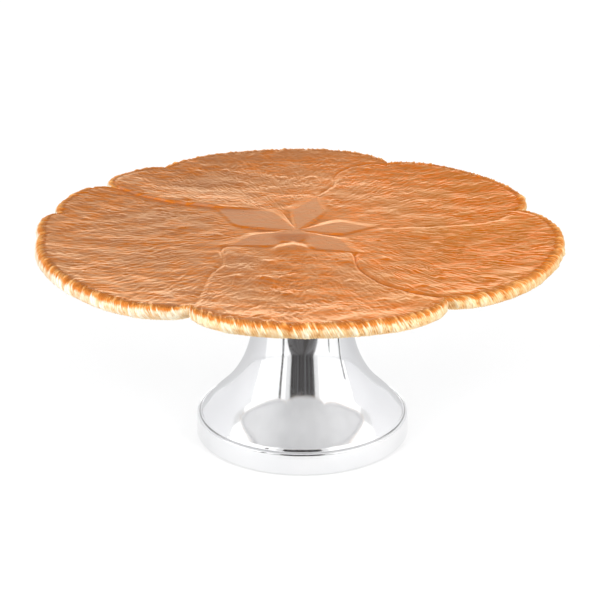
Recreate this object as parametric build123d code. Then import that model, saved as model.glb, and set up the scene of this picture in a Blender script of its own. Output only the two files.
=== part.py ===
from build123d import *
import math
import os

# Cake stand: a cast plate with five unequal petals, an enamel skin on its top and edge, and a
# hollow polished pedestal that one bolt draws up against a boss under the plate.
# Millimetres. The origin is on the pedestal's axis at the plane the foot stands on. +Z is up,
# -Y is the side with the front petal, and angles run anticlockwise from +X, seen from above.

# Plate
RIM_TOP_Z = 130.0
DISH_Z = 126.5
DISH_FLAT_RADIUS = 88.0
DISH_OUTER_RADIUS = 160.0
RIM_BOTTOM_Z = 123.0
LIP_WIDTH = 6.0
WALL = DISH_Z - RIM_BOTTOM_Z
DISH_ARC_RADIUS = 551.0
BOSS_RADIUS = 26.0
BOSS_FILLET = 4.0
BOSS_BOTTOM_Z = 112.0
THREAD_RADIUS = 4.0
THREAD_DEPTH = 12.0

# Outline: lobes as (start angle, end angle, reach at the middle), and the reach at each notch.
# Five deep notches part the petals; the three shallow ones only scallop the two widest petals.
LOBES = (
    (245.0, 303.5, 153.5),
    (303.5, 373.5, 150.5),
    (13.5, 66.0, 148.0),
    (66.0, 128.0, 152.5),
    (128.0, 148.0, 150.5),
    (148.0, 171.0, 152.0),
    (171.0, 185.0, 153.5),
    (185.0, 245.0, 155.5),
)
NOTCH_REACH = {
    13.5: 133.0,
    66.0: 136.0,
    128.0: 143.5,
    148.0: 136.5,
    171.0: 145.5,
    185.0: 151.0,
    245.0: 138.0,
    303.5: 136.5,
}
LOBE_POWER = 3.5
LOBE_SOFTNESS = 0.8
LOBE_STATIONS = (-1.0, -0.97, -0.88, -0.7, -0.4, 0.0, 0.4, 0.7, 0.88, 0.97, 1.0)

# Rolled edge of the rim, as (height, inset from the outline)
RIM_SECTIONS = ((123.0, 1.2), (124.6, 0.0), (127.4, 0.2), (129.2, 1.6), (130.0, 3.6))

# Enamel relief
COAT = 0.8
STAR_HEIGHT = 0.8
STAR_CENTRE = (-3.0, -2.0)
STAR_ARMS = ((141.0, 61.0, 15.5), (79.0, 62.0, 9.0), (8.0, 43.5, 11.0), (-49.0, 47.5, 12.0), (214.0, 45.0, 10.0))
SEAM_WIDTH = 1.6
SEAM_DEPTH = 0.5
SEAMS = (
    ((-49.0, 36.0), (-70.0, 46.0), (-95.0, 57.5), (-117.3, 73.3)),
    ((8.0, 58.0), (17.5, 76.0), (22.0, 97.0), (33.0, 112.0), (56.0, 126.0)),
    ((40.0, 3.0), (62.5, 5.0), (83.0, 7.5), (105.0, 12.5), (132.3, 31.8)),
    ((26.0, -33.0), (29.0, -55.0), (37.5, -78.0), (52.5, -95.0), (76.4, -115.5)),
    ((-38.0, -28.0), (-41.0, -45.0), (-48.0, -70.0), (-53.0, -100.0), (-59.2, -127.0)),
)

# Pedestal
PEDESTAL_TOP_Z = 111.0
TOP_WEB = 5.0
CLEARANCE_HOLE_RADIUS = 4.4
FOOT_BOTTOM_Z = 0.7
FOOT_RADIUS = 63.5
FOOT_EDGE = 0.6
BAND_TOP_Z = 14.4
BAND_ROUND = 2.4
BAND_TAPER = 0.6
CREASE_RADIUS = 60.2
CREASE_DEPTH = 0.5
TRUMPET = (
    (60.0, 15.0),
    (53.4, 22.0),
    (47.2, 28.0),
    (42.2, 34.0),
    (36.2, 44.0),
    (31.2, 58.0),
    (28.6, 76.0),
    (27.2, 96.0),
    (27.0, PEDESTAL_TOP_Z),
)
INNER_STEP = (-3.2, -2.2)
LAND_INNER_RADIUS = 54.0
LAND_HEIGHT = 3.6
INNER_BAND_RADIUS = 57.6
INNER_BAND_Z = (7.2, 11.0)
CAVITY_TOP_RADIUS = 23.6

# Foot ring, in a groove under the foot
RING_INNER_RADIUS = 56.0
RING_OUTER_RADIUS = 61.2
RING_HEIGHT = 1.6

# Fastening
GASKET_RADIUS = 25.4
GASKET_HOLE_RADIUS = 9.0
FLAT_WASHER = (8.0, 4.2, 1.6)
LOCK_WASHER = (7.2, 4.1, 2.0)
LOCK_GAP = 1.6
BOLT_RADIUS = 3.95
BOLT_LENGTH = 20.0
HEX_ACROSS_FLATS = 13.0
HEX_HEIGHT = 5.3
HEX_CHAMFER = 0.7
TIP_CHAMFER = 0.8


def polar(radius, angle):
    turn = math.radians(angle)
    return (radius * math.cos(turn), radius * math.sin(turn))


def lobe_edge(lobe, inset):
    """One lobe of the outline, smooth from notch to notch."""
    start, end, reach = lobe
    low = NOTCH_REACH[start % 360.0]
    high = NOTCH_REACH[end % 360.0]
    points = []
    for station in LOBE_STATIONS:
        share = (station + 1.0) / 2.0
        notch = low + (high - low) * share
        fullness = (1.0 - abs(station) ** LOBE_POWER) ** LOBE_SOFTNESS
        radius = notch + (reach - notch) * fullness - inset
        points.append(polar(radius, start + (end - start) * share))
    return Spline(*points)


def outline(z, inset):
    edges = [lobe_edge(lobe, inset) for lobe in LOBES]
    return Pos(0, 0, z) * make_face(edges)


def dish_section(top_z, bottom_z):
    """Section of the space between two heights, with the dish's curve as its lower side."""
    run = DISH_OUTER_RADIUS - DISH_FLAT_RADIUS
    rise = DISH_ARC_RADIUS - math.sqrt(DISH_ARC_RADIUS**2 - run**2)
    middle_rise = DISH_ARC_RADIUS - math.sqrt(DISH_ARC_RADIUS**2 - (run / 2) ** 2)
    flat_end = (DISH_FLAT_RADIUS, bottom_z)
    middle = (DISH_FLAT_RADIUS + run / 2, bottom_z + middle_rise)
    outer = (DISH_OUTER_RADIUS, bottom_z + rise)
    edges = [
        Line((0, bottom_z), flat_end),
        ThreePointArc(flat_end, middle, outer),
        Line(outer, (DISH_OUTER_RADIUS, top_z)),
        Line((DISH_OUTER_RADIUS, top_z), (0, top_z)),
        Line((0, top_z), (0, bottom_z)),
    ]
    return Plane.XZ * make_face(edges)


def above_dish(bottom_z):
    top = RIM_TOP_Z + 10.0
    return revolve(dish_section(top, bottom_z), Axis.Z)


def rim_body(inset):
    """The lobed disc with its rolled edge, before the dish is cut."""
    sections = [outline(z, step + inset) for z, step in RIM_SECTIONS]
    return loft(sections, ruled=True)


def under_space():
    """The space under the plate's wall, inside the turned-down lip."""
    below = extrude(outline(RIM_BOTTOM_Z - 5.0, LIP_WIDTH), 20.0)
    return below - above_dish(RIM_BOTTOM_Z)


def dished(inset, drop):
    return rim_body(inset) - above_dish(DISH_Z - drop) - under_space()


def make_boss():
    boss_height = RIM_BOTTOM_Z - BOSS_BOTTOM_Z
    boss = Pos(0, 0, BOSS_BOTTOM_Z) * Cylinder(
        BOSS_RADIUS, boss_height + 1.0, align=(Align.CENTER, Align.CENTER, Align.MIN)
    )
    return boss


def make_plate():
    body = dished(COAT, COAT) + make_boss()
    roots = body.edges().filter_by(GeomType.CIRCLE).filter_by(
        lambda edge: abs(edge.radius - BOSS_RADIUS) < 0.1 and abs(edge.center().Z - RIM_BOTTOM_Z) < 0.1
    )
    body = fillet(roots, BOSS_FILLET)
    hole = Pos(0, 0, BOSS_BOTTOM_Z) * Cylinder(
        THREAD_RADIUS, THREAD_DEPTH, align=(Align.CENTER, Align.CENTER, Align.MIN)
    )
    return body - hole


def leaf(angle, length, half_width):
    """One arm of the centre star, a pointed leaf from the star's centre."""
    tip = polar(length, angle)
    middle = polar(length / 2, angle)
    side = polar(half_width, angle + 90.0)
    left = (middle[0] + side[0], middle[1] + side[1])
    right = (middle[0] - side[0], middle[1] - side[1])
    edges = [ThreePointArc((0, 0), left, tip), ThreePointArc(tip, right, (0, 0))]
    return make_face(edges)


def make_star():
    base = Pos(STAR_CENTRE[0], STAR_CENTRE[1], DISH_Z - COAT / 2)
    arms = [base * extrude(leaf(*arm), COAT / 2 + STAR_HEIGHT) for arm in STAR_ARMS]
    star = arms[0]
    for arm in arms[1:]:
        star = star + arm
    return star


def make_seams():
    """Shallow grooves that run from the star's tips to the notches."""
    layer = above_dish(DISH_Z - SEAM_DEPTH)
    grooves = []
    for points in SEAMS:
        strip = trace(Spline(*points), SEAM_WIDTH)
        slab = Pos(0, 0, DISH_Z - 2.0) * extrude(strip, 10.0)
        grooves.append(slab & layer)
    return grooves


def make_enamel_coat():
    coat = dished(0.0, 0.0) - dished(COAT, COAT)
    for groove in make_seams():
        coat = coat - groove
    return coat + make_star()


def pedestal_section():
    """Half section of the pedestal: band, crease, trumpet, top web and the hollow inside."""
    foot_low = (FOOT_RADIUS - FOOT_EDGE, FOOT_BOTTOM_Z)
    foot_side = (FOOT_RADIUS, FOOT_BOTTOM_Z + FOOT_EDGE)
    band_side = (FOOT_RADIUS - BAND_TAPER, BAND_TOP_Z - BAND_ROUND)
    band_top = (FOOT_RADIUS - BAND_TAPER - BAND_ROUND, BAND_TOP_Z)
    corner = BAND_ROUND * (1.0 - math.sqrt(0.5))
    band_corner = (band_side[0] - corner, band_top[1] - corner)
    crease = (CREASE_RADIUS, BAND_TOP_Z - CREASE_DEPTH)
    outer = Spline(*TRUMPET)
    web_z = PEDESTAL_TOP_Z - TOP_WEB
    inner_points = [(r + INNER_STEP[0], z + INNER_STEP[1]) for r, z in TRUMPET[:-2]]
    inner_points.append((CAVITY_TOP_RADIUS, web_z))
    inner = Spline(*inner_points)
    band_low = (INNER_BAND_RADIUS, INNER_BAND_Z[0])
    band_high = (INNER_BAND_RADIUS, INNER_BAND_Z[1])
    land_top = (LAND_INNER_RADIUS, LAND_HEIGHT)
    land_low = (LAND_INNER_RADIUS, FOOT_BOTTOM_Z)
    edges = [
        Line(land_low, foot_low),
        Line(foot_low, foot_side),
        Line(foot_side, band_side),
        ThreePointArc(band_side, band_corner, band_top),
        Line(band_top, crease),
        Line(crease, TRUMPET[0]),
        outer,
        Line(TRUMPET[-1], (CLEARANCE_HOLE_RADIUS, PEDESTAL_TOP_Z)),
        Line((CLEARANCE_HOLE_RADIUS, PEDESTAL_TOP_Z), (CLEARANCE_HOLE_RADIUS, web_z)),
        Line((CLEARANCE_HOLE_RADIUS, web_z), inner_points[-1]),
        inner,
        Line(inner_points[0], band_high),
        Line(band_high, band_low),
        Line(band_low, land_top),
        Line(land_top, land_low),
    ]
    return Plane.XZ * make_face(edges)


def ring(outer_radius, inner_radius, bottom_z, height):
    align = (Align.CENTER, Align.CENTER, Align.MIN)
    disc = Cylinder(outer_radius, height, align=align)
    hole = Cylinder(inner_radius, height, align=align)
    return Pos(0, 0, bottom_z) * (disc - hole)


def make_foot_ring():
    return ring(RING_OUTER_RADIUS, RING_INNER_RADIUS, 0.0, RING_HEIGHT)


def make_pedestal():
    body = revolve(pedestal_section(), Axis.Z)
    return body - make_foot_ring()


def make_seat_gasket():
    return ring(GASKET_RADIUS, GASKET_HOLE_RADIUS, PEDESTAL_TOP_Z, BOSS_BOTTOM_Z - PEDESTAL_TOP_Z)


def washer_bottoms():
    """Heights of the undersides of the flat washer and of the lock washer."""
    flat_z = PEDESTAL_TOP_Z - TOP_WEB - FLAT_WASHER[2]
    return flat_z, flat_z - LOCK_WASHER[2]


def make_flat_washer():
    outer_radius, inner_radius, height = FLAT_WASHER
    return ring(outer_radius, inner_radius, washer_bottoms()[0], height)


def make_lock_washer():
    outer_radius, inner_radius, height = LOCK_WASHER
    bottom_z = washer_bottoms()[1]
    split = Pos(outer_radius / 2 + 1.0, 0, bottom_z + height / 2) * Rot(30, 0, 0) * Box(
        outer_radius, LOCK_GAP, height * 3
    )
    return ring(outer_radius, inner_radius, bottom_z, height) - split


def make_centre_bolt():
    head_top = washer_bottoms()[1]
    head_radius = HEX_ACROSS_FLATS / math.sqrt(3.0)
    head = Pos(0, 0, head_top - HEX_HEIGHT) * extrude(RegularPolygon(head_radius, 6), HEX_HEIGHT)
    rounding = Pos(0, 0, head_top - HEX_HEIGHT) * Cylinder(
        head_radius, HEX_HEIGHT, align=(Align.CENTER, Align.CENTER, Align.MIN)
    )
    rounding = chamfer(rounding.edges().sort_by(Axis.Z)[0], HEX_CHAMFER)
    shank = Pos(0, 0, head_top) * Cylinder(
        BOLT_RADIUS, BOLT_LENGTH, align=(Align.CENTER, Align.CENTER, Align.MIN)
    )
    shank = chamfer(shank.edges().sort_by(Axis.Z)[-1], TIP_CHAMFER)
    return (head & rounding) + shank


def main():
    os.makedirs("parts", exist_ok=True)
    parts = {
        "plate": make_plate(),
        "enamel_coat": make_enamel_coat(),
        "seat_gasket": make_seat_gasket(),
        "pedestal": make_pedestal(),
        "flat_washer": make_flat_washer(),
        "lock_washer": make_lock_washer(),
        "centre_bolt": make_centre_bolt(),
        "foot_ring": make_foot_ring(),
    }
    for node, shape in parts.items():
        export_step(shape, f"parts/{node}.step")


main()
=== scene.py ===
import bpy
import math
import numpy as np
from collections import namedtuple
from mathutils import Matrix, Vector
from mathutils.bvhtree import BVHTree


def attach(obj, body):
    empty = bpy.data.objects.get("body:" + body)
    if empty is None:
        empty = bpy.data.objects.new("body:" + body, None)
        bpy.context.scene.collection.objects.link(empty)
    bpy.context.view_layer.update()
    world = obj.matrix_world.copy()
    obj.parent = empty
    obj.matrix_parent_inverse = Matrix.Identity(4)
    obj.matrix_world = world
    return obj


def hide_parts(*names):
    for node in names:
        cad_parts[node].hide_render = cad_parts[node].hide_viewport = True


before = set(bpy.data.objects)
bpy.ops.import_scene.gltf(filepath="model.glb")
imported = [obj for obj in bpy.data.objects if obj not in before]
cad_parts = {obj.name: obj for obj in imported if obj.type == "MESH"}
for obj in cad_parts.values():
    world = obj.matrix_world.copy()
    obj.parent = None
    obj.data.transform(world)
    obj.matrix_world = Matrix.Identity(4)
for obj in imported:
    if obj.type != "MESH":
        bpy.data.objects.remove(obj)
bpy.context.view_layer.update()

MM = 0.001
FULL_TURN = 2.0 * math.pi

# Camera: its place beside the stand, how far it looks down, and its lens and sensor in millimetres
CAMERA_PLACE = (-0.0014, -0.9882, 0.4773)
CAMERA_PITCH = 21.74
CAMERA_LENS = 108.8
CAMERA_SENSOR = 36.0

# Softboxes to the left and right of the camera, and the wider glowing cards that reflections see instead
SOFTBOX_PLACE = (1.3, -1.15, 0.8)
SOFTBOX_SIZE = (1.05, 1.5)
SOFTBOX_POWER = 27.0
GLOW_PLACE = (1.6, -0.71, 1.5)
GLOW_SIZE = (2.4, 2.9)
GLOW_STRENGTH = 1.4

# A low strip light behind the stand
BACK_STRIP_PLACE = (0.0, 1.9, 0.30)
BACK_STRIP_SIZE = (3.6, 0.34)
BACK_STRIP_POWER = 11.0

# The studio: the floor's side, and the direction of the white room's one darker patch
FLOOR_SIZE = 8.0
DARK_PATCH = (0.0, 0.64, 0.77)

# Flags that only reflections see: name, azimuth from -Y, near and far distance, half angle at each, height
DARK_FLAGS = (
    ("dark_gap", 0.0, 0.13, 2.2, (46.0, 23.0), 2.4),
    ("left_line", -41.0, 0.14, 1.2, (2.6, 2.0), 0.9),
    ("right_line", 84.0, 0.14, 1.2, (2.4, 1.5), 0.35),
    ("short_line", 58.0, 0.17, 0.6, (2.6, 1.0), 0.02),
)
GREY_FLAGS = (
    ("left_flag", -124.0, 0.09, 1.6, (42.0, 42.0), 1.2),
    ("right_flag", 126.0, 0.09, 1.6, (38.0, 38.0), 1.2),
)

# The smooth dish that the enamel's relief stands on, and the enamel's thickness
DISH_Z = 126.5 * MM
DISH_FLAT_RADIUS = 88.0 * MM
DISH_ARC_RADIUS = 551.0 * MM
COAT = 0.8 * MM

# Height at which the outline is read from the CAD coat
OUTLINE_Z = 124.7 * MM

# The rolled edge, from the dish over the top and down the side: (inset from the outline, height)
RIM_PATH = (
    (6.0, 129.55), (4.6, 129.78), (3.4, 129.86), (2.3, 129.66), (1.4, 129.2), (0.75, 128.5),
    (0.3, 127.6), (0.05, 126.6), (0.0, 125.6), (0.2, 124.6), (0.65, 123.7), (1.3, 123.0),
)
EDGE_INSET = RIM_PATH[0][0] * MM
EDGE_Z = RIM_PATH[0][1] * MM

# Mesh steps: along the rim's path and from row to row, the radii below which the columns of a row are
# halved, and the outer columns to one inner column, which divides every petal's columns
RIM_STEP = 0.45 * MM
ROW_STEP = 0.72 * MM
HALVING_RADII = (74.0, 37.0, 18.5, 9.0)
COLUMNS_PER_INNER = 16

# Seams, each from the tip of a star arm to a notch: (radius, angle)
SEAMS = {
    "left_back": ((61.0, 143.7), (84.0, 147.3), (111.0, 149.0), (125.0, 148.7), (136.5, 148.0)),
    "back_right": ((60.0, 80.5), (77.0, 77.2), (99.5, 78.2), (118.0, 74.0), (136.0, 66.0)),
    "right_side": ((41.0, 4.0), (62.7, 4.6), (83.0, 5.2), (106.0, 6.9), (133.0, 13.5)),
    "front_right": ((47.0, -53.0), (62.0, -62.0), (86.0, -64.2), (108.5, -61.1), (136.5, -56.5)),
    "front_left": ((48.0, -146.5), (61.0, -132.0), (84.6, -124.2), (113.0, -118.0), (138.0, -115.0)),
}

# Steps at the seams, in millimetres: height of the petal before each seam, height of the petal after it,
# the width over which they rise, and the groove's depth
SeamStep = namedtuple("SeamStep", "before after width groove")
SEAM_STEPS = {
    "left_back": SeamStep(1.0, 0.0, 2.0, 0.30),
    "back_right": SeamStep(0.25, 0.1, 3.0, 0.35),
    "right_side": SeamStep(0.75, 0.0, 5.0, 0.12),
    "front_right": SeamStep(0.45, 0.35, 2.6, 0.60),
    "front_left": SeamStep(0.2, 0.35, 3.5, 0.30),
}

# Petals anticlockwise: name, seam before, seam after, columns at the rim, strength of the radial ribs
Petal = namedtuple("Petal", "name before after columns ribbing")
PETALS = (
    Petal("front", "front_left", "front_right", 576, 0.5),
    Petal("right", "front_right", "right_side", 640, 1.0),
    Petal("back_right", "right_side", "back_right", 512, 0.7),
    Petal("back", "back_right", "left_back", 768, 0.35),
    Petal("left", "left_back", "front_left", 768, 0.35),
)

# One row across a petal: angle, radius and height of the smooth surface, the lean of its normal, the path
# run over the rim, the inset from the outline, and the gaps to the seam before and the seam after
Row = namedtuple("Row", "angle radius height lean path inset gap after_gap")

# Centre star, in millimetres: its centre, its hub's radius, the height of its flat top, and its arms by
# angle, length, half widths to the left and right, and share of the length at which each is widest
STAR_CENTRE = (-3.0, -2.0)
STAR_HUB = 3.0
STAR_TOP = 0.85
STAR_ARMS = (
    (141.0, 61.0, 15.0, 16.0, 0.55),
    (79.0, 62.0, 9.5, 9.0, 0.55),
    (8.0, 43.5, 11.0, 8.5, 0.60),
    (-49.0, 47.5, 8.5, 12.5, 0.60),
    (214.0, 45.0, 13.0, 7.5, 0.58),
)

# The web between the star's two front arms: its centre from the star's centre, its radius, and its dip
STAR_WEB = (-3.5, -8.5, 9.0)
WEB_DIP = 0.8

# The valleys between the arms: floor near the centre and where they run out, the width of their walls, and
# how much wider a wall that falls towards the back is
VALLEY_FLOOR = -0.15
PETAL_LEVEL = 0.4
VALLEY_WALL = 1.6
BACK_WALL_EXTRA = 4.4

# The raised tip of the front petal: where its point is, and the direction in which it widens
FRONT_BEAK = (-5.0, -18.0, -92.0)

# Pedestal's outer curve, from the foot band up: (radius, height)
TRUMPET = (
    (60.0, 15.0), (53.4, 22.0), (47.2, 28.0), (42.2, 34.0), (36.2, 44.0), (31.2, 58.0),
    (28.6, 76.0), (27.2, 96.0), (27.0, 111.0),
)


# Helpers


def new_object(name, data):
    """An object with its data, in the scene."""
    obj = bpy.data.objects.new(name, data)
    bpy.context.scene.collection.objects.link(obj)
    return obj


def lattice_noise(x, y, seed):
    """Smooth gradient noise, about -1 to 1, with features one unit across."""
    size = 4096
    table = np.random.default_rng(seed).uniform(0.0, FULL_TURN, size)
    column = np.floor(x).astype(np.int64)
    row = np.floor(y).astype(np.int64)
    fx = x - column
    fy = y - row

    def corner(step_x, step_y):
        # Two large primes spread the lattice's corners over the table
        key = ((column + step_x) * 73856093) ^ ((row + step_y) * 19349663)
        angle = table[(key ^ (key >> 13)) & (size - 1)]
        return np.cos(angle) * (fx - step_x) + np.sin(angle) * (fy - step_y)

    blend_x = fx * fx * fx * (fx * (fx * 6.0 - 15.0) + 10.0)
    blend_y = fy * fy * fy * (fy * (fy * 6.0 - 15.0) + 10.0)
    low = corner(0, 0) * (1.0 - blend_x) + corner(1, 0) * blend_x
    high = corner(0, 1) * (1.0 - blend_x) + corner(1, 1) * blend_x
    return 1.5 * (low * (1.0 - blend_y) + high * blend_y)


def smooth(low, high, value):
    """0 at low and 1 at high, with a soft S between. Low may be the larger of the two."""
    share = np.clip((value - low) / (high - low), 0.0, 1.0)
    return share * share * (3.0 - 2.0 * share)


def soft_least(first, second, blend):
    """The smaller of two values, rounded where they cross."""
    return 0.5 * (first + second - np.sqrt((first - second) ** 2 + blend * blend))


def natural_spline(points, count):
    """A natural cubic spline through points, at even steps of its length."""
    points = np.array(points, float)
    chords = np.append(0.0, np.cumsum(np.linalg.norm(np.diff(points, axis=0), axis=1)))
    size = len(points)
    matrix = np.eye(size)
    right = np.zeros((size, 2))
    gaps = np.diff(chords)
    for i in range(1, size - 1):
        matrix[i, i - 1:i + 2] = (gaps[i - 1], 2.0 * (gaps[i - 1] + gaps[i]), gaps[i])
        slope = np.diff(points[i - 1:i + 2], axis=0) / gaps[i - 1:i + 1, None]
        right[i] = 6.0 * (slope[1] - slope[0])
    bend = np.linalg.solve(matrix, right)
    where = np.linspace(0.0, chords[-1], count)
    index = np.clip(np.searchsorted(chords, where, side="right") - 1, 0, size - 2)
    gap = gaps[index, None]
    a = (chords[index + 1] - where)[:, None] / gap
    b = 1.0 - a
    return (a * points[index] + b * points[index + 1]
            + ((a**3 - a) * bend[index] + (b**3 - b) * bend[index + 1]) * gap**2 / 6.0)


def arc(centre, radius, start, end, count):
    """Points along an arc between two angles."""
    turns = np.radians(np.linspace(start, end, count))
    return np.stack([centre[0] + radius * np.cos(turns), centre[1] + radius * np.sin(turns)], axis=1)


# The enamel


def outline_table(node, height, count=2880):
    """Reach of a CAD node's outer wall at a height, at even angles."""
    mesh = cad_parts[node].data
    points = [v.co for v in mesh.vertices]
    tree = BVHTree.FromPolygons(points, [p.vertices for p in mesh.polygons])
    angles = np.arange(count) * FULL_TURN / count
    reach = np.zeros(count)
    well_outside = 0.3
    for index, angle in enumerate(angles):
        outward = Vector((math.cos(angle), math.sin(angle), 0.0))
        start = outward * well_outside + Vector((0.0, 0.0, height))
        hit = tree.ray_cast(start, -outward)[0]
        reach[index] = math.hypot(hit.x, hit.y)
    return angles, reach


OUTLINE_ANGLES, OUTLINE_REACH = outline_table("enamel_coat", OUTLINE_Z)


def reach_at(angle):
    """Distance from the axis to the outline."""
    return np.interp(angle % FULL_TURN, OUTLINE_ANGLES, OUTLINE_REACH, period=FULL_TURN)


def edge_length_table():
    """Angles, and the outline's length up to each, for ribs that are evenly spaced."""
    reach = np.append(OUTLINE_REACH, OUTLINE_REACH[0])
    angles = np.append(OUTLINE_ANGLES, FULL_TURN)
    steps = np.hypot(np.diff(reach), reach[:-1] * np.diff(angles))
    return angles, np.append(0.0, np.cumsum(steps))


EDGE_ANGLES, EDGE_LENGTHS = edge_length_table()


def edge_length(angle):
    """Length along the outline from angle 0."""
    return np.interp(angle % FULL_TURN, EDGE_ANGLES, EDGE_LENGTHS)


def seam_angle(name, share):
    """A seam's angle at a share of the way from the centre to its notch."""
    points = SEAMS[name]
    radii = np.array([p[0] for p in points]) / points[-1][0]
    angles = np.radians([p[1] for p in points])
    radii = np.append(0.0, radii)
    angles = np.append(angles[0], angles)
    slopes = np.gradient(angles, radii)
    # Inside the star a seam is straight, so both of that span's slopes are nought
    slopes[0] = slopes[1] = 0.0
    index = np.clip(np.searchsorted(radii, share, side="right") - 1, 0, len(radii) - 2)
    width = radii[index + 1] - radii[index]
    t = np.clip((share - radii[index]) / width, 0.0, 1.0)
    h00 = 2 * t**3 - 3 * t**2 + 1
    h10 = t**3 - 2 * t**2 + t
    h01 = -2 * t**3 + 3 * t**2
    h11 = t**3 - t**2
    return (h00 * angles[index] + h10 * width * slopes[index]
            + h01 * angles[index + 1] + h11 * width * slopes[index + 1])


def dish_height(radius):
    """Height of the smooth dish: flat in the middle, then rising on an arc."""
    run = np.maximum(radius - DISH_FLAT_RADIUS, 0.0)
    return DISH_Z + DISH_ARC_RADIUS - np.sqrt(DISH_ARC_RADIUS**2 - run**2)


def star_distance(x, y):
    """How far inside the centre star a point is, in millimetres, below zero outside it."""
    dx = x / MM - STAR_CENTRE[0]
    dy = y / MM - STAR_CENTRE[1]
    best = STAR_HUB - np.hypot(dx, dy)
    web_x, web_y, web_radius = STAR_WEB
    best = np.maximum(best, web_radius - np.hypot(dx - web_x, dy - web_y))
    for angle, length, left, right, belly in STAR_ARMS:
        turn = math.radians(angle)
        along = dx * math.cos(turn) + dy * math.sin(turn)
        across = dy * math.cos(turn) - dx * math.sin(turn)
        share = np.clip(along / length, 0.0, 1.0)
        fullness = 1.12 * soft_least(share / belly, (1.0 - share) / (1.0 - belly), 0.24)
        half = np.where(across > 0.0, left, right) * fullness
        inside = np.minimum(half - np.abs(across), np.minimum(0.6 * (length - along), along + 1.0))
        best = np.maximum(best, inside * 0.93)
    return best


def beak_height(x, y):
    """The raised tip of the front petal, a wedge that rises from its point and dies away, 0 to 1."""
    tip_x, tip_y, direction = FRONT_BEAK
    turn = math.radians(direction)
    dx = x / MM - tip_x
    dy = y / MM - tip_y
    along = dx * math.cos(turn) + dy * math.sin(turn)
    across = np.abs(dy * math.cos(turn) - dx * math.sin(turn))
    # The wedge's sides stand 54 degrees off its middle line
    inside = 0.81 * along - 0.59 * across
    return np.clip(inside / 5.6, 0.0, 1.0) * smooth(26.0, 7.0, along) * smooth(14.0, 6.0, across)


def star_height(x, y):
    """The star's flat top and the valleys that part its arms, in millimetres, and the distance inside it."""
    star = star_distance(x, y)
    step = 0.5
    facing_back = smooth(0.1, -0.5, (star_distance(x, y + step * MM) - star) / step)
    wall = VALLEY_WALL + BACK_WALL_EXTRA * facing_back
    dx = x / MM - STAR_CENTRE[0]
    dy = y / MM - STAR_CENTRE[1]
    reach = np.hypot(dx, dy)
    floor = VALLEY_FLOOR + (PETAL_LEVEL - VALLEY_FLOOR) * smooth(16.0, 40.0, reach)
    drop = np.clip(-star / wall, 0.0, 1.0)
    # The web between the front arms sinks towards its front edge
    top = STAR_TOP - WEB_DIP * smooth(-5.0, -17.0, dy) * smooth(13.0, 6.0, np.abs(dx - STAR_WEB[0]))
    return top + (np.minimum(floor, top) - top) * drop, star


def blisters(x, y):
    """Forty low bumps scattered over the petals, each 0 to 1."""
    draw = np.random.default_rng(5)
    height = np.zeros(x.shape)
    for _ in range(40):
        radius = draw.uniform(46.0, 138.0)
        angle = draw.uniform(0.0, FULL_TURN)
        size = draw.uniform(1.6, 3.6)
        tall = draw.uniform(0.4, 1.0)
        dx = x / MM - radius * math.cos(angle)
        dy = y / MM - radius * math.sin(angle)
        height += tall * np.exp(-(dx * dx + 1.6 * dy * dy) / (size * size))
    return height


def seam_step(gap, step, width, groove):
    """Height beside a seam: up to its step, back down inside the petal, and a groove on the line."""
    rise = smooth(0.0, width, gap) * (1.0 - smooth(width + 1.5, width + 34.0, gap))
    return step * rise - groove * np.exp(-(gap / 1.1) ** 2)


def wrinkles(x, y, angle, radius, ribbing):
    """The petals' bark-like wrinkles, their fine grain and the ribs that run out from the centre, in
    millimetres. The last number of each noise is its seed."""
    mx = x / MM
    my = y / MM
    along = radius / MM
    warp_x = mx + 2.2 * lattice_noise(mx / 6.0, my / 6.0, 11)
    warp_y = my + 2.2 * lattice_noise(mx / 6.0, my / 6.0, 12)
    bark = 1.0 - 2.2 * np.abs(lattice_noise(warp_x / 5.2, warp_y / 3.8, 13))
    fine = lattice_noise(warp_x / 2.4, warp_y / 1.7, 14)
    patch = smooth(-0.4, 0.4, lattice_noise(mx / 23.0, my / 19.0, 16))
    sweep = 100.0 * angle + 2.6 * lattice_noise(along / 13.0, angle * 7.0, 17)
    feather = 1.0 - 2.2 * np.abs(lattice_noise(sweep / 3.4, along / 10.0, 19))
    streak = lattice_noise(sweep / 1.25, along / 11.0, 18)
    ribbed = ribbing * smooth(46.0, 85.0, along) * (0.45 + 0.55 * patch)
    return 0.16 * bark * (0.3 + 0.7 * patch) + 0.08 * fine + 0.11 * feather + 0.25 * streak * ribbed


def petal_relief(x, y, angle, radius, gap, after_gap, petal):
    """Height of the petal's surface over the smooth dish, in metres."""
    mx = x / MM
    my = y / MM
    rough = wrinkles(x, y, angle, radius, petal.ribbing)
    swell = lattice_noise(mx / 16.0, my / 12.0, 15)
    body = 0.34 * swell + rough + 0.7 * blisters(x, y)
    level, star = star_height(x, y)
    # The full relief starts outside the star, on which the wrinkles are faint
    outside = smooth(-1.0, -8.0, star) * smooth(14.0, 60.0, np.hypot(mx, my))
    faint = 0.3 * (1.0 - outside) * rough
    beak = 0.85 * beak_height(x, y)
    # The steps at the seams start at the tips of the arms
    past_arm = smooth(38.0, 54.0, radius / MM)
    before = SEAM_STEPS[petal.before]
    after = SEAM_STEPS[petal.after]
    seams = seam_step(gap, before.after, before.width, before.groove)
    seams = seams + seam_step(after_gap, after.before, after.width, after.groove)
    height = level + outside * body + faint + beak + seams * past_arm * smooth(0.0, -3.0, star)
    return np.maximum(height, VALLEY_FLOOR - 0.1) * MM


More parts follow.
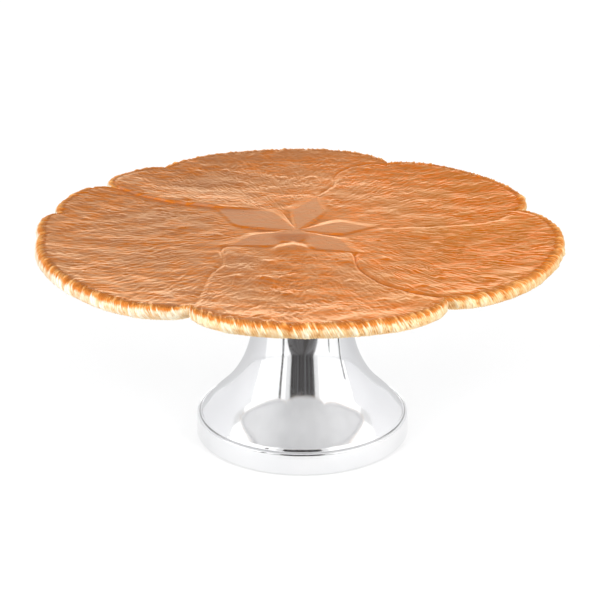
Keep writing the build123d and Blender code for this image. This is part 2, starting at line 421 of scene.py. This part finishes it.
def fringe_relief(edge, path):
    """Height of the ribs, tufts and spikes that run over the rim and down its side, in metres."""
    along = edge / MM
    down = path / MM
    lean = (0.5 + 0.35 * lattice_noise(along / 31.0, along * 0.0, 21)) * down
    wander = 0.45 * lattice_noise(along / 3.1, down / 6.0, 22)
    rib = np.abs(np.sin(math.pi * ((along - lean) / 1.2 + wander))) ** 0.8
    height = 0.65 + 0.6 * lattice_noise(along / 2.2, down / 3.6, 23)
    strand = lattice_noise((along - lean) / 0.8, down / 1.9, 24)
    wave = lattice_noise(along / 11.0, down / 30.0, 25)
    tuft = lattice_noise(along / 4.6, down / 14.0, 26)
    spike = np.maximum(lattice_noise((along - lean) / 1.6, down / 9.0, 27) - 0.1, 0.0)
    ribs = 0.55 * (rib - 0.7) * height + 0.22 * strand
    # Tufts and spikes are tallest on the crest of the rim
    crest = 1.0 - 0.65 * smooth(3.4, 5.2, down)
    return (ribs + 0.25 * wave + (0.4 * tuft + 1.1 * spike) * crest) * MM


def rim_curve():
    """The rolled edge as even steps: inset, height, outward lean of the normal, length so far."""
    insets = np.array([p[0] for p in RIM_PATH]) * MM
    heights = np.array([p[1] for p in RIM_PATH]) * MM
    lengths = np.append(0.0, np.cumsum(np.hypot(np.diff(insets), np.diff(heights))))
    steps = np.arange(0.0, lengths[-1], RIM_STEP)[1:]
    steps = np.append(steps, lengths[-1])
    inset = np.interp(steps, lengths, insets)
    height = np.interp(steps, lengths, heights)
    run = np.gradient(-inset, steps)
    rise = np.gradient(height, steps)
    lean = np.arctan2(-rise, run)
    # The lean is averaged over five steps, so that the normal turns smoothly
    lean = np.convolve(np.pad(lean, 2, mode="edge"), np.ones(5) / 5.0, mode="valid")
    return inset, height, lean, steps


RIM_INSETS, RIM_HEIGHTS, RIM_LEANS, RIM_LENGTHS = rim_curve()


def column_count(full, radius):
    """Columns in a row of the top: halved towards the centre so that the cells stay about square."""
    count = full // 2
    for limit in HALVING_RADII:
        if radius / MM < limit:
            count = count // 2
    return count


def smooth_row(petal, share, step, columns):
    """One row of the smooth surface. A row of the top has no step, and lies at a share of the way from
    the centre to the rolled edge. A row of the rolled edge has its step along the rim."""
    low = seam_angle(petal.before, share)
    high = seam_angle(petal.after, share)
    high = high + FULL_TURN * (high < low)
    angle = low + (high - low) * np.linspace(0.0, 1.0, columns + 1)
    reach = reach_at(angle)
    if step is None:
        radius = share * (reach - EDGE_INSET)
        height = dish_height(radius)
        lean = np.zeros_like(radius)
        path = np.zeros_like(radius)
    else:
        # The dish ends higher where the outline is further out, and the rim fades that lift away
        rise = dish_height(reach - EDGE_INSET) - EDGE_Z
        fade = 1.0 - smooth(0.0, 8.0 * MM, RIM_LENGTHS[step])
        radius = reach - RIM_INSETS[step]
        height = RIM_HEIGHTS[step] + rise * fade
        lean = np.full_like(radius, RIM_LEANS[step])
        path = np.full_like(radius, RIM_LENGTHS[step])
    gap = radius * (angle - low) / MM
    after_gap = radius * (high - angle) / MM
    return Row(angle, radius, height, lean, path, reach - radius, gap, after_gap)


def offset_points(row, shift):
    """A row's points, moved off the smooth surface along its normal."""
    outward = row.radius + shift * np.sin(row.lean)
    z = row.height + shift * np.cos(row.lean)
    return np.stack([outward * np.cos(row.angle), outward * np.sin(row.angle), z], axis=1)


def outer_relief(petal, row):
    """Height of a row's relief over the smooth surface, and how much of it is the star's flat top."""
    x = row.radius * np.cos(row.angle)
    y = row.radius * np.sin(row.angle)
    top = petal_relief(x, y, row.angle, row.radius, row.gap, row.after_gap, petal)
    ribs = fringe_relief(edge_length(row.angle), row.path - np.maximum(row.inset, EDGE_INSET))
    # The fringe takes over from the petal's relief near the outline, and wholly on the side
    fringe_share = smooth(9.0 * MM, 1.5 * MM, row.inset - row.path * 0.4)
    fringe_share = np.where(row.path > 5.0 * MM, 1.0, fringe_share)
    return top * (1.0 - 0.85 * fringe_share) + ribs * fringe_share, smooth(0.0, 1.5, star_distance(x, y))


def panel_rows(petal):
    """Rows of a petal's enamel: outer points, inner points, and each outer point's relief, path and star
    share, which the material reads."""
    notch = min(reach_at(seam_angle(petal.before, 1.0)), reach_at(seam_angle(petal.after, 1.0)))
    top_rows = int(round(notch / ROW_STEP))
    rows = []
    for row in range(1, top_rows + 1):
        share = row / top_rows
        rows.append((share, None, column_count(petal.columns, share * notch)))
    for step in range(len(RIM_LENGTHS)):
        rows.append((1.0, step, petal.columns))
    outer_rows = []
    inner_rows = []
    shades = []
    for share, step, columns in rows:
        outer = smooth_row(petal, share, step, columns)
        relief, star = outer_relief(petal, outer)
        outer_rows.append(offset_points(outer, relief))
        shades.append(np.stack([relief / MM, outer.path / MM, star], axis=1))
        inner = smooth_row(petal, share, step, petal.columns // COLUMNS_PER_INNER)
        inner_rows.append(offset_points(inner, -COAT))
    return outer_rows, inner_rows, shades


def strip_faces(first, first_count, second, second_count):
    """Faces between two rows whose point counts are equal or one a multiple of the other."""
    if first_count == second_count:
        return [(first + i, first + i + 1, second + i + 1, second + i) for i in range(first_count)]
    if second_count > first_count:
        ratio = second_count // first_count
        faces = []
        for i in range(first_count):
            far = tuple(second + i * ratio + k for k in range(ratio, -1, -1))
            faces.append((first + i, first + i + 1) + far)
        return faces
    ratio = first_count // second_count
    faces = []
    for i in range(second_count):
        near = tuple(first + i * ratio + k for k in range(ratio + 1))
        faces.append(near + (second + i + 1, second + i))
    return faces


def skin_faces(starts, counts, inner_starts, inner_count):
    """Faces of a panel's top, rim, inside and lower edge, and apart from them those of its two side walls."""
    faces = [(0, starts[0] + i, starts[0] + i + 1) for i in range(counts[0])]
    faces += [(1, inner_starts[0] + i + 1, inner_starts[0] + i) for i in range(inner_count)]
    walls = [(0, starts[0], inner_starts[0], 1)]
    walls.append((1, inner_starts[0] + inner_count, starts[0] + counts[0], 0))
    for k in range(len(starts) - 1):
        strip = strip_faces(starts[k], counts[k], starts[k + 1], counts[k + 1])
        faces += [face[::-1] for face in strip]
        faces += strip_faces(inner_starts[k], inner_count, inner_starts[k + 1], inner_count)
        walls.append((starts[k], starts[k + 1], inner_starts[k + 1], inner_starts[k]))
        ends = (starts[k] + counts[k], starts[k + 1] + counts[k + 1])
        inner_ends = (inner_starts[k] + inner_count, inner_starts[k + 1] + inner_count)
        walls.append(inner_ends + ends[::-1])
    lower_edge = strip_faces(starts[-1], counts[-1], inner_starts[-1], inner_count)
    faces += [face[::-1] for face in lower_edge]
    return faces, walls


def keep_walls_sharp(mesh, first_wall):
    """Sharp edges round the side walls, the last faces, so that the walls don't shade the top."""
    corner_edges = np.empty(len(mesh.loops), dtype=np.int32)
    mesh.loops.foreach_get("edge_index", corner_edges)
    sharp = np.zeros(len(mesh.edges), dtype=bool)
    sharp[corner_edges[mesh.polygons[first_wall].loop_start:]] = True
    mesh.edges.foreach_set("use_edge_sharp", sharp)


def build_panel(petal):
    """One petal of enamel as a closed skin: relief on top and edge, plain inside."""
    outer_rows, inner_rows, shades = panel_rows(petal)
    centre = np.zeros(1)
    far = np.full(1, 99.0)
    centre_relief = float(petal_relief(centre, centre, centre, centre, far, far, petal)[0])
    # Points 0 and 1 are the centre of the outer face and of the inner face
    points = [np.array([[0.0, 0.0, DISH_Z + centre_relief]]), np.array([[0.0, 0.0, DISH_Z - COAT]])]
    points += outer_rows + inner_rows
    shading = [np.array([[centre_relief / MM, 0.0, 1.0]]), np.zeros((1, 3))]
    shading += shades + [np.zeros((len(row), 3)) for row in inner_rows]
    firsts = np.cumsum([0] + [len(part) for part in points]).tolist()
    starts = firsts[2:2 + len(outer_rows)]
    inner_starts = firsts[2 + len(outer_rows):-1]
    counts = [len(row) - 1 for row in outer_rows]
    faces, walls = skin_faces(starts, counts, inner_starts, len(inner_rows[0]) - 1)
    mesh = bpy.data.meshes.new("enamel_" + petal.name)
    mesh.from_pydata(np.concatenate(points).tolist(), [], faces + walls)
    shading = np.concatenate(shading).astype(np.float32)
    for column, label in enumerate(("relief", "path", "star")):
        layer = mesh.attributes.new(label, "FLOAT", "POINT")
        layer.data.foreach_set("value", np.ascontiguousarray(shading[:, column]))
    mesh.polygons.foreach_set("use_smooth", np.arange(len(faces) + len(walls)) < len(faces))
    mesh.update()
    keep_walls_sharp(mesh, len(faces))
    return new_object(mesh.name, mesh)


# The pedestal


def pedestal_profile():
    """The pedestal's closed half section, from the hole in its top web, down the outside and up inside."""
    top = [(4.4, 111.0), (8.0, 111.0), (16.0, 111.0), (24.0, 111.0), (26.4, 110.95), (26.85, 110.7)]
    # The top's rounded edge takes the place of the trumpet's first three points
    outer = natural_spline(TRUMPET, 110)[::-1][3:]
    crease = [(60.3, 14.47), (60.6, 13.95), (60.75, 13.8), (60.95, 13.74), (61.3, 13.74)]
    band_round = arc((61.55, 12.45), 1.3, 80.0, 3.0, 9)
    band = natural_spline([(62.86, 12.4), (63.3, 9.0), (63.5, 5.0), (63.5, 1.8)], 12)[1:]
    foot = arc((62.7, 1.5), 0.8, -8.0, -90.0, 6)
    under = [(61.6, 0.7), (61.2, 0.72), (61.2, 1.6), (56.0, 1.6), (56.0, 0.72), (55.6, 0.7), (54.3, 0.75)]
    land = [(54.0, 1.0), (54.0, 3.4), (54.3, 4.0), (57.2, 7.0), (57.6, 7.6), (57.6, 10.6), (57.4, 11.4)]
    inner = natural_spline([(r - 3.2, z - 2.2) for r, z in TRUMPET[:-2]] + [(23.6, 106.0)], 60)
    web = [(23.0, 106.0), (14.0, 106.0), (8.0, 106.0), (4.7, 106.0), (4.4, 106.3)]
    parts = [top, outer, crease, band_round, band, foot, under, land, inner, web]
    return np.concatenate([np.array(part, float) for part in parts]) * MM


def lathe(name, profile, segments):
    """A closed ring of the profile turned about the axis."""
    turns = np.arange(segments) * FULL_TURN / segments
    rings = len(profile)
    x = profile[:, 0, None] * np.cos(turns)
    y = profile[:, 0, None] * np.sin(turns)
    z = np.repeat(profile[:, 1, None], segments, axis=1)
    points = np.stack([x, y, z], axis=2).reshape(-1, 3)
    faces = []
    for ring in range(rings):
        here = ring * segments
        after = (ring + 1) % rings * segments
        for i in range(segments):
            j = (i + 1) % segments
            faces.append((here + i, after + i, after + j, here + j))
    mesh = bpy.data.meshes.new(name)
    mesh.from_pydata(points.tolist(), [], faces)
    mesh.polygons.foreach_set("use_smooth", np.ones(len(faces), dtype=bool))
    mesh.update()
    return new_object(name, mesh)


# Materials


def new_material(name):
    material = bpy.data.materials.new(name)
    material.use_nodes = True
    tree = material.node_tree
    return material, tree, tree.nodes["Principled BSDF"]


def add(tree, kind, **values):
    """A node with its properties and unlinked inputs set."""
    node = tree.nodes.new(kind)
    for key, value in values.items():
        if key in node.inputs:
            node.inputs[key].default_value = value
        else:
            setattr(node, key, value)
    return node


def noise_node(tree, coords, scale, detail, rough):
    """Noise with about scale features to a unit of its coordinates."""
    node = add(tree, "ShaderNodeTexNoise", Scale=scale, Detail=detail, Roughness=rough)
    tree.links.new(coords, node.inputs["Vector"])
    return node.outputs["Fac"]


def ramp_node(tree, value, stops):
    """A colour that follows a value through stops: (place, colour)."""
    node = add(tree, "ShaderNodeValToRGB")
    elements = node.color_ramp.elements
    while len(elements) < len(stops):
        elements.new(0.5)
    for element, (place, colour) in zip(elements, stops):
        element.position = place
        element.color = (*colour, 1.0)
    tree.links.new(value, node.inputs["Fac"])
    return node.outputs["Color"]


def map_node(tree, value, low, high, to_low=0.0, to_high=1.0):
    """A value that goes straight from one range to another, and stays inside it."""
    node = add(tree, "ShaderNodeMapRange")
    node.inputs["From Min"].default_value = low
    node.inputs["From Max"].default_value = high
    node.inputs["To Min"].default_value = to_low
    node.inputs["To Max"].default_value = to_high
    tree.links.new(value, node.inputs["Value"])
    return node.outputs["Result"]


def mix_node(tree, share, first, second, mode="MIX"):
    """A colour mix, whose sockets 0, 6 and 7 are its factor and its two colours."""
    node = add(tree, "ShaderNodeMix", data_type="RGBA", blend_type=mode)
    for socket, value in ((node.inputs[0], share), (node.inputs[6], first), (node.inputs[7], second)):
        if isinstance(value, tuple):
            socket.default_value = (*value, 1.0)
        elif isinstance(value, float):
            socket.default_value = value
        else:
            tree.links.new(value, socket)
    return node.outputs[2]


def tint_node(tree, colour, factors):
    """A colour multiplied by factors."""
    return mix_node(tree, 1.0, colour, factors, "MULTIPLY")


def bump_node(tree, height, strength, distance, normal=None):
    """A bumped normal, on top of an earlier one where there is one."""
    node = add(tree, "ShaderNodeBump", Strength=strength, Distance=distance)
    tree.links.new(height, node.inputs["Height"])
    if normal is not None:
        tree.links.new(normal, node.inputs["Normal"])
    return node.outputs["Normal"]


def object_coords(tree, stretch=(1.0, 1.0, 1.0)):
    """The shared frame's coordinates, times a stretch along each axis."""
    coords = add(tree, "ShaderNodeTexCoord").outputs["Object"]
    mapping = add(tree, "ShaderNodeMapping", Scale=stretch)
    tree.links.new(coords, mapping.inputs["Vector"])
    return mapping.outputs["Vector"]


def attribute(tree, name):
    """A value that the mesh carries at its points."""
    return add(tree, "ShaderNodeAttribute", attribute_name=name).outputs["Fac"]


def petal_colour(tree, coords, relief, grain, across):
    """Orange brown with vivid strokes in cloudy patches and gold flecks, and painted light: painted shade in
    the hollows, a painted paler sheen on the star, a dull cool left side and a warm right side.
    """
    vivid_orange = (0.75, 0.175, 0.006)
    gold_fleck = (0.78, 0.34, 0.08)
    # Painted sheen: a paler mauve tan that stands in for the white that the star's flat top reflects
    painted_star_sheen = (0.56, 0.235, 0.115)
    cloud = noise_node(tree, coords, 26.0, 4.0, 0.6)
    strokes = noise_node(tree, object_coords(tree, (110.0, 350.0, 110.0)), 1.0, 3.0, 0.55)
    # Painted shade: the colour darkens in the hollows of the relief and lightens on its raised parts
    colour = ramp_node(tree, map_node(tree, relief, -0.5, 1.3), (
        (0.0, (0.40, 0.10, 0.015)), (0.45, (0.56, 0.19, 0.055)), (0.78, (0.60, 0.222, 0.08)),
        (1.0, (0.63, 0.24, 0.085))))
    vivid = mix_node(tree, map_node(tree, strokes, 0.43, 0.58, 0.1, 0.95), colour, vivid_orange)
    colour = mix_node(tree, map_node(tree, cloud, 0.34, 0.54), colour, vivid)
    colour = mix_node(tree, map_node(tree, grain, 0.45, 0.75, 0.0, 0.15), colour, gold_fleck)
    # The painted sheen covers the star's flat top, by its star share
    star = map_node(tree, attribute(tree, "star"), 0.0, 1.0, 0.0, 0.55)
    colour = mix_node(tree, star, colour, painted_star_sheen)
    # Painted light: the left side painted dull and cool, the right side warm, as the light falls on each side
    painted_cool_left = tint_node(tree, colour, (0.80, 0.88, 1.2))
    colour = mix_node(tree, map_node(tree, across, -0.06, 0.04), painted_cool_left, colour)
    painted_warm_right = tint_node(tree, colour, (1.02, 0.95, 0.55))
    return mix_node(tree, map_node(tree, across, 0.03, 0.10), colour, painted_warm_right)


def side_colour(tree, relief, across):
    """Pale gold on the side of the rim, partly its own colour and partly painted light: lighter on the rib
    crests and darker between them, and painted paler and cooler to the left and darker and browner to the
    right.
    """
    # Partly painted shade and highlight: darker between the ribs, lighter on their crests
    colour = ramp_node(tree, map_node(tree, relief, -0.45, 0.5), (
        (0.0, (0.56, 0.22, 0.05)), (0.42, (0.80, 0.50, 0.23)), (0.75, (0.87, 0.70, 0.45)),
        (1.0, (0.90, 0.80, 0.58))))
    # Painted light: paler and cooler to the left, darker and browner to the right
    pale = tint_node(tree, colour, (0.98, 1.03, 1.25))
    painted_tan_right = tint_node(tree, colour, (0.92, 0.78, 0.62))
    colour = mix_node(tree, map_node(tree, across, -0.13, -0.03), pale, colour)
    return mix_node(tree, map_node(tree, across, 0.02, 0.13), colour, painted_tan_right)


def roll_colour(tree, relief):
    """Orange over the top of the rolled edge and gold on its ribs, partly their own colours and partly
    painted shade in the hollows and painted highlight on the crests.
    """
    # Partly painted shade and highlight: darker in the hollows, lighter on the crests
    return ramp_node(tree, map_node(tree, relief, -0.5, 0.8), (
        (0.0, (0.50, 0.12, 0.012)), (0.5, (0.71, 0.24, 0.045)), (1.0, (0.92, 0.52, 0.2))))


def enamel_material():
    """Pearl enamel: orange brown over the petals, pale gold on the ribbed side of the rim."""
    material, tree, shader = new_material("pearl_enamel")
    coords = object_coords(tree)
    split = add(tree, "ShaderNodeSeparateXYZ")
    tree.links.new(coords, split.inputs[0])
    across = split.outputs["X"]
    relief = attribute(tree, "relief")
    path = attribute(tree, "path")
    grain = noise_node(tree, object_coords(tree, (1.0, 1.4, 1.0)), 700.0, 4.0, 0.6)
    petal = petal_colour(tree, coords, relief, grain, across)
    top = mix_node(tree, map_node(tree, path, 1.0, 3.4), petal, roll_colour(tree, relief))
    # The pale side starts higher on a rib than between two ribs
    down_side = add(tree, "ShaderNodeMath", operation="MULTIPLY_ADD")
    tree.links.new(relief, down_side.inputs[0])
    down_side.inputs[1].default_value = 2.0
    tree.links.new(path, down_side.inputs[2])
    on_side = map_node(tree, down_side.outputs[0], 5.6, 7.0)
    colour = mix_node(tree, on_side, top, side_colour(tree, relief, across))
    tree.links.new(colour, shader.inputs["Base Color"])
    rough = map_node(tree, grain, 0.3, 0.7, 0.27, 0.33)
    tree.links.new(rough, shader.inputs["Roughness"])
    shader.inputs["Metallic"].default_value = 0.42
    shader.inputs["Specular IOR Level"].default_value = 0.2
    shader.inputs["Specular Tint"].default_value = (1.0, 0.78, 0.3, 1.0)
    shader.inputs["Coat Weight"].default_value = 0.12
    shader.inputs["Coat Roughness"].default_value = 0.14
    shader.inputs["Coat IOR"].default_value = 1.45
    micro = noise_node(tree, coords, 1500.0, 3.0, 0.6)
    tree.links.new(bump_node(tree, micro, 0.025, 0.15 * MM), shader.inputs["Normal"])
    return material


def polished_material():
    """Mirror-polished cast aluminium with faint turning rings and soft waviness."""
    material, tree, shader = new_material("polished_aluminium")
    rings = object_coords(tree, (0.2, 0.2, 1.0))
    waves = noise_node(tree, object_coords(tree), 26.0, 2.0, 0.4)
    lines = noise_node(tree, rings, 1600.0, 2.0, 0.5)
    tint = ramp_node(tree, waves, ((0.3, (0.82, 0.825, 0.835)), (0.7, (0.87, 0.87, 0.875))))
    tree.links.new(tint, shader.inputs["Base Color"])
    shader.inputs["Metallic"].default_value = 1.0
    rough = map_node(tree, lines, 0.3, 0.7, 0.07, 0.13)
    tree.links.new(rough, shader.inputs["Roughness"])
    normal = bump_node(tree, lines, 0.04, 0.02 * MM)
    normal = bump_node(tree, waves, 0.06, 0.3 * MM, normal)
    tree.links.new(normal, shader.inputs["Normal"])
    return material


def metal_material(name, colour, roughness, grain_scale, grain_depth, metallic=1.0):
    """Satin metal with a fine grain."""
    material, tree, shader = new_material(name)
    coords = object_coords(tree)
    grain = noise_node(tree, coords, grain_scale, 4.0, 0.6)
    cloud = noise_node(tree, coords, 45.0, 3.0, 0.5)
    darker = tuple(0.93 * value for value in colour)
    tint = ramp_node(tree, cloud, ((0.3, darker), (0.7, colour)))
    tree.links.new(tint, shader.inputs["Base Color"])
    shader.inputs["Metallic"].default_value = metallic
    rough = map_node(tree, grain, 0.3, 0.7, roughness - 0.06, roughness + 0.08)
    tree.links.new(rough, shader.inputs["Roughness"])
    tree.links.new(bump_node(tree, grain, 0.3, grain_depth), shader.inputs["Normal"])
    return material


def matte_material(name, dark, light, roughness, grain_scale):
    """Rubber or pressed fibre: no shine, fine speckle."""
    material, tree, shader = new_material(name)
    coords = object_coords(tree)
    grain = noise_node(tree, coords, grain_scale, 5.0, 0.7)
    tree.links.new(ramp_node(tree, grain, ((0.3, dark), (0.7, light))), shader.inputs["Base Color"])
    rough = map_node(tree, grain, 0.3, 0.7, roughness - 0.08, roughness + 0.05)
    tree.links.new(rough, shader.inputs["Roughness"])
    tree.links.new(bump_node(tree, grain, 0.4, 0.05 * MM), shader.inputs["Normal"])
    return material


def dress(obj, material):
    """One material all over an object."""
    obj.data.materials.clear()
    obj.data.materials.append(material)


def make_object():
    """The stand: enamel panels and pedestal in place of their CAD nodes, and finishes for the other nodes."""
    enamel = enamel_material()
    for petal in PETALS:
        panel = build_panel(petal)
        dress(panel, enamel)
        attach(panel, "root")
        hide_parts("enamel_coat")
    pedestal = lathe("polished_pedestal", pedestal_profile(), segments=256)
    dress(pedestal, polished_material())
    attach(pedestal, "root")
    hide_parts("pedestal")
    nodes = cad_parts
    cast = metal_material("cast_aluminium", (0.90, 0.90, 0.905), 0.5, 260.0, 0.05 * MM, 0.3)
    steel = metal_material("zinc_steel", (0.62, 0.63, 0.65), 0.28, 700.0, 0.05 * MM)
    dress(nodes["plate"], cast)
    for name in ("centre_bolt", "flat_washer", "lock_washer"):
        dress(nodes[name], steel)
    fibre = matte_material("pressed_fibre", (0.16, 0.13, 0.10), (0.32, 0.27, 0.22), 0.85, 900.0)
    dress(nodes["seat_gasket"], fibre)
    rubber = matte_material("foot_rubber", (0.025, 0.025, 0.027), (0.06, 0.06, 0.06), 0.75, 1200.0)
    dress(nodes["foot_ring"], rubber)


# Stage


def make_camera():
    """A camera that looks along +Y and down by its pitch."""
    data = bpy.data.cameras.new("camera")
    data.sensor_width = CAMERA_SENSOR
    data.lens = CAMERA_LENS
    camera = new_object("camera", data)
    camera.location = CAMERA_PLACE
    camera.rotation_euler = (math.radians(90.0 - CAMERA_PITCH), 0.0, 0.0)
    bpy.context.scene.camera = camera


def flat_card(name, width, height, place, turn, material):
    """A flat card that faces along its own +Z before it is turned."""
    x = width / 2.0
    y = height / 2.0
    corners = [(-x, -y, 0.0), (x, -y, 0.0), (x, y, 0.0), (-x, y, 0.0)]
    mesh = bpy.data.meshes.new(name)
    mesh.from_pydata(corners, [], [(0, 1, 2, 3)])
    card = new_object(name, mesh)
    card.location = place
    card.rotation_euler = turn
    card.data.materials.append(material)
    return card


def plain_material(name, colour, roughness, glow=0.0):
    """A matte colour, with its own even white glow where it has one."""
    material, _, shader = new_material(name)
    shader.inputs["Base Color"].default_value = (*colour, 1.0)
    shader.inputs["Roughness"].default_value = roughness
    shader.inputs["Specular IOR Level"].default_value = 0.1
    shader.inputs["Emission Color"].default_value = (1.0, 1.0, 1.0, 1.0)
    shader.inputs["Emission Strength"].default_value = glow
    return material


def gap_material():
    """The dark gap between the softboxes, with lighter upright streaks."""
    material = plain_material("dark_gap", (0.02, 0.018, 0.016), 0.9)
    tree = material.node_tree
    streaks = noise_node(tree, object_coords(tree, (1.0, 0.001, 0.001)), 7.0, 2.0, 0.5)
    shade = ramp_node(tree, streaks, ((0.4, (0.02, 0.014, 0.011)), (0.62, (0.16, 0.16, 0.165))))
    tree.links.new(shade, tree.nodes["Principled BSDF"].inputs["Base Color"])
    return material


def level_aim(place):
    """A turn that points an object's -Z at the stand's axis, level with the ground."""
    return (Vector((0.0, 0.0, place[2])) - Vector(place)).to_track_quat("-Z", "Y").to_euler()


def area_light(name, place, turn, size, power, in_reflections):
    """A rectangular light that faces along its own -Z before it is turned."""
    data = bpy.data.lights.new(name, "AREA")
    data.shape = "RECTANGLE"
    data.size, data.size_y = size
    data.energy = power
    light = new_object(name, data)
    light.location = place
    light.rotation_euler = turn
    light.visible_glossy = in_reflections
    return light


def make_world():
    """A white room with one darker patch, high up behind the stand."""
    world = bpy.data.worlds.new("studio")
    world.use_nodes = True
    tree = world.node_tree
    coords = add(tree, "ShaderNodeTexCoord").outputs["Generated"]
    towards = add(tree, "ShaderNodeVectorMath", operation="DOT_PRODUCT")
    tree.links.new(coords, towards.inputs[0])
    towards.inputs[1].default_value = DARK_PATCH
    shade = ramp_node(tree, towards.outputs["Value"], (
        (0.0, (0.95, 0.95, 0.95)), (0.80, (0.85, 0.85, 0.85)), (0.88, (0.7, 0.7, 0.7)),
        (0.95, (0.28, 0.28, 0.28)), (1.0, (0.2, 0.2, 0.2))))
    tree.links.new(shade, tree.nodes["Background"].inputs["Color"])
    bpy.context.scene.world = world


def show_in_reflections_only(card):
    """Hides a card from the camera, from diffuse light and from shadows."""
    card.visible_camera = False
    card.visible_diffuse = False
    card.visible_shadow = False


def reflector(name, azimuth, near, far, spread, height, material):
    """A flag seen only in reflections: a wedge on the floor, then a wall, centred on an azimuth from -Y."""
    turn = math.radians(azimuth)
    floor_gap = 0.001
    points = []
    for distance, half_angle, z in (
            (near, spread[0], floor_gap), (far, spread[1], floor_gap), (far, spread[1], height)):
        side = distance * math.tan(math.radians(half_angle))
        for across in (-side, side):
            x = distance * math.sin(turn) + across * math.cos(turn)
            y = -distance * math.cos(turn) + across * math.sin(turn)
            points.append((x, y, z))
    mesh = bpy.data.meshes.new(name)
    mesh.from_pydata(points, [], [(0, 1, 3, 2), (2, 3, 5, 4)])
    card = new_object(name, mesh)
    card.data.materials.append(material)
    show_in_reflections_only(card)


def make_softboxes():
    """A softbox on each side, and the glowing card that reflections see in its place."""
    glow = plain_material("softbox_glow", (0.0, 0.0, 0.0), 1.0, GLOW_STRENGTH)
    for name, side in (("left", -1.0), ("right", 1.0)):
        place = (side * SOFTBOX_PLACE[0], SOFTBOX_PLACE[1], SOFTBOX_PLACE[2])
        area_light("softbox_" + name, place, level_aim(place), SOFTBOX_SIZE, SOFTBOX_POWER, False)
        place = (side * GLOW_PLACE[0], GLOW_PLACE[1], GLOW_PLACE[2])
        show_in_reflections_only(flat_card("glow_" + name, *GLOW_SIZE, place, level_aim(place), glow))


def make_back_strip():
    """The strip light behind the stand, which faces -Y, seen in reflections but not by the camera."""
    turn = (math.radians(-90.0), 0.0, 0.0)
    back = area_light("back_strip", BACK_STRIP_PLACE, turn, BACK_STRIP_SIZE, BACK_STRIP_POWER, True)
    back.visible_camera = False


def make_stage():
    """Camera, floor, flags and lights."""
    make_camera()
    make_world()
    floor = plain_material("white_floor", (0.52, 0.52, 0.52), 0.6, 0.44)
    flat_card("floor", FLOOR_SIZE, FLOOR_SIZE, (0.0, 0.0, 0.0), (0.0, 0.0, 0.0), floor)
    dark = gap_material()
    for flag in DARK_FLAGS:
        reflector(*flag, dark)
    grey = plain_material("grey_flag", (0.68, 0.68, 0.69), 0.9)
    for flag in GREY_FLAGS:
        reflector(*flag, grey)
    make_softboxes()
    make_back_strip()
    bpy.context.scene.view_settings.view_transform = "Standard"


make_object()
make_stage()
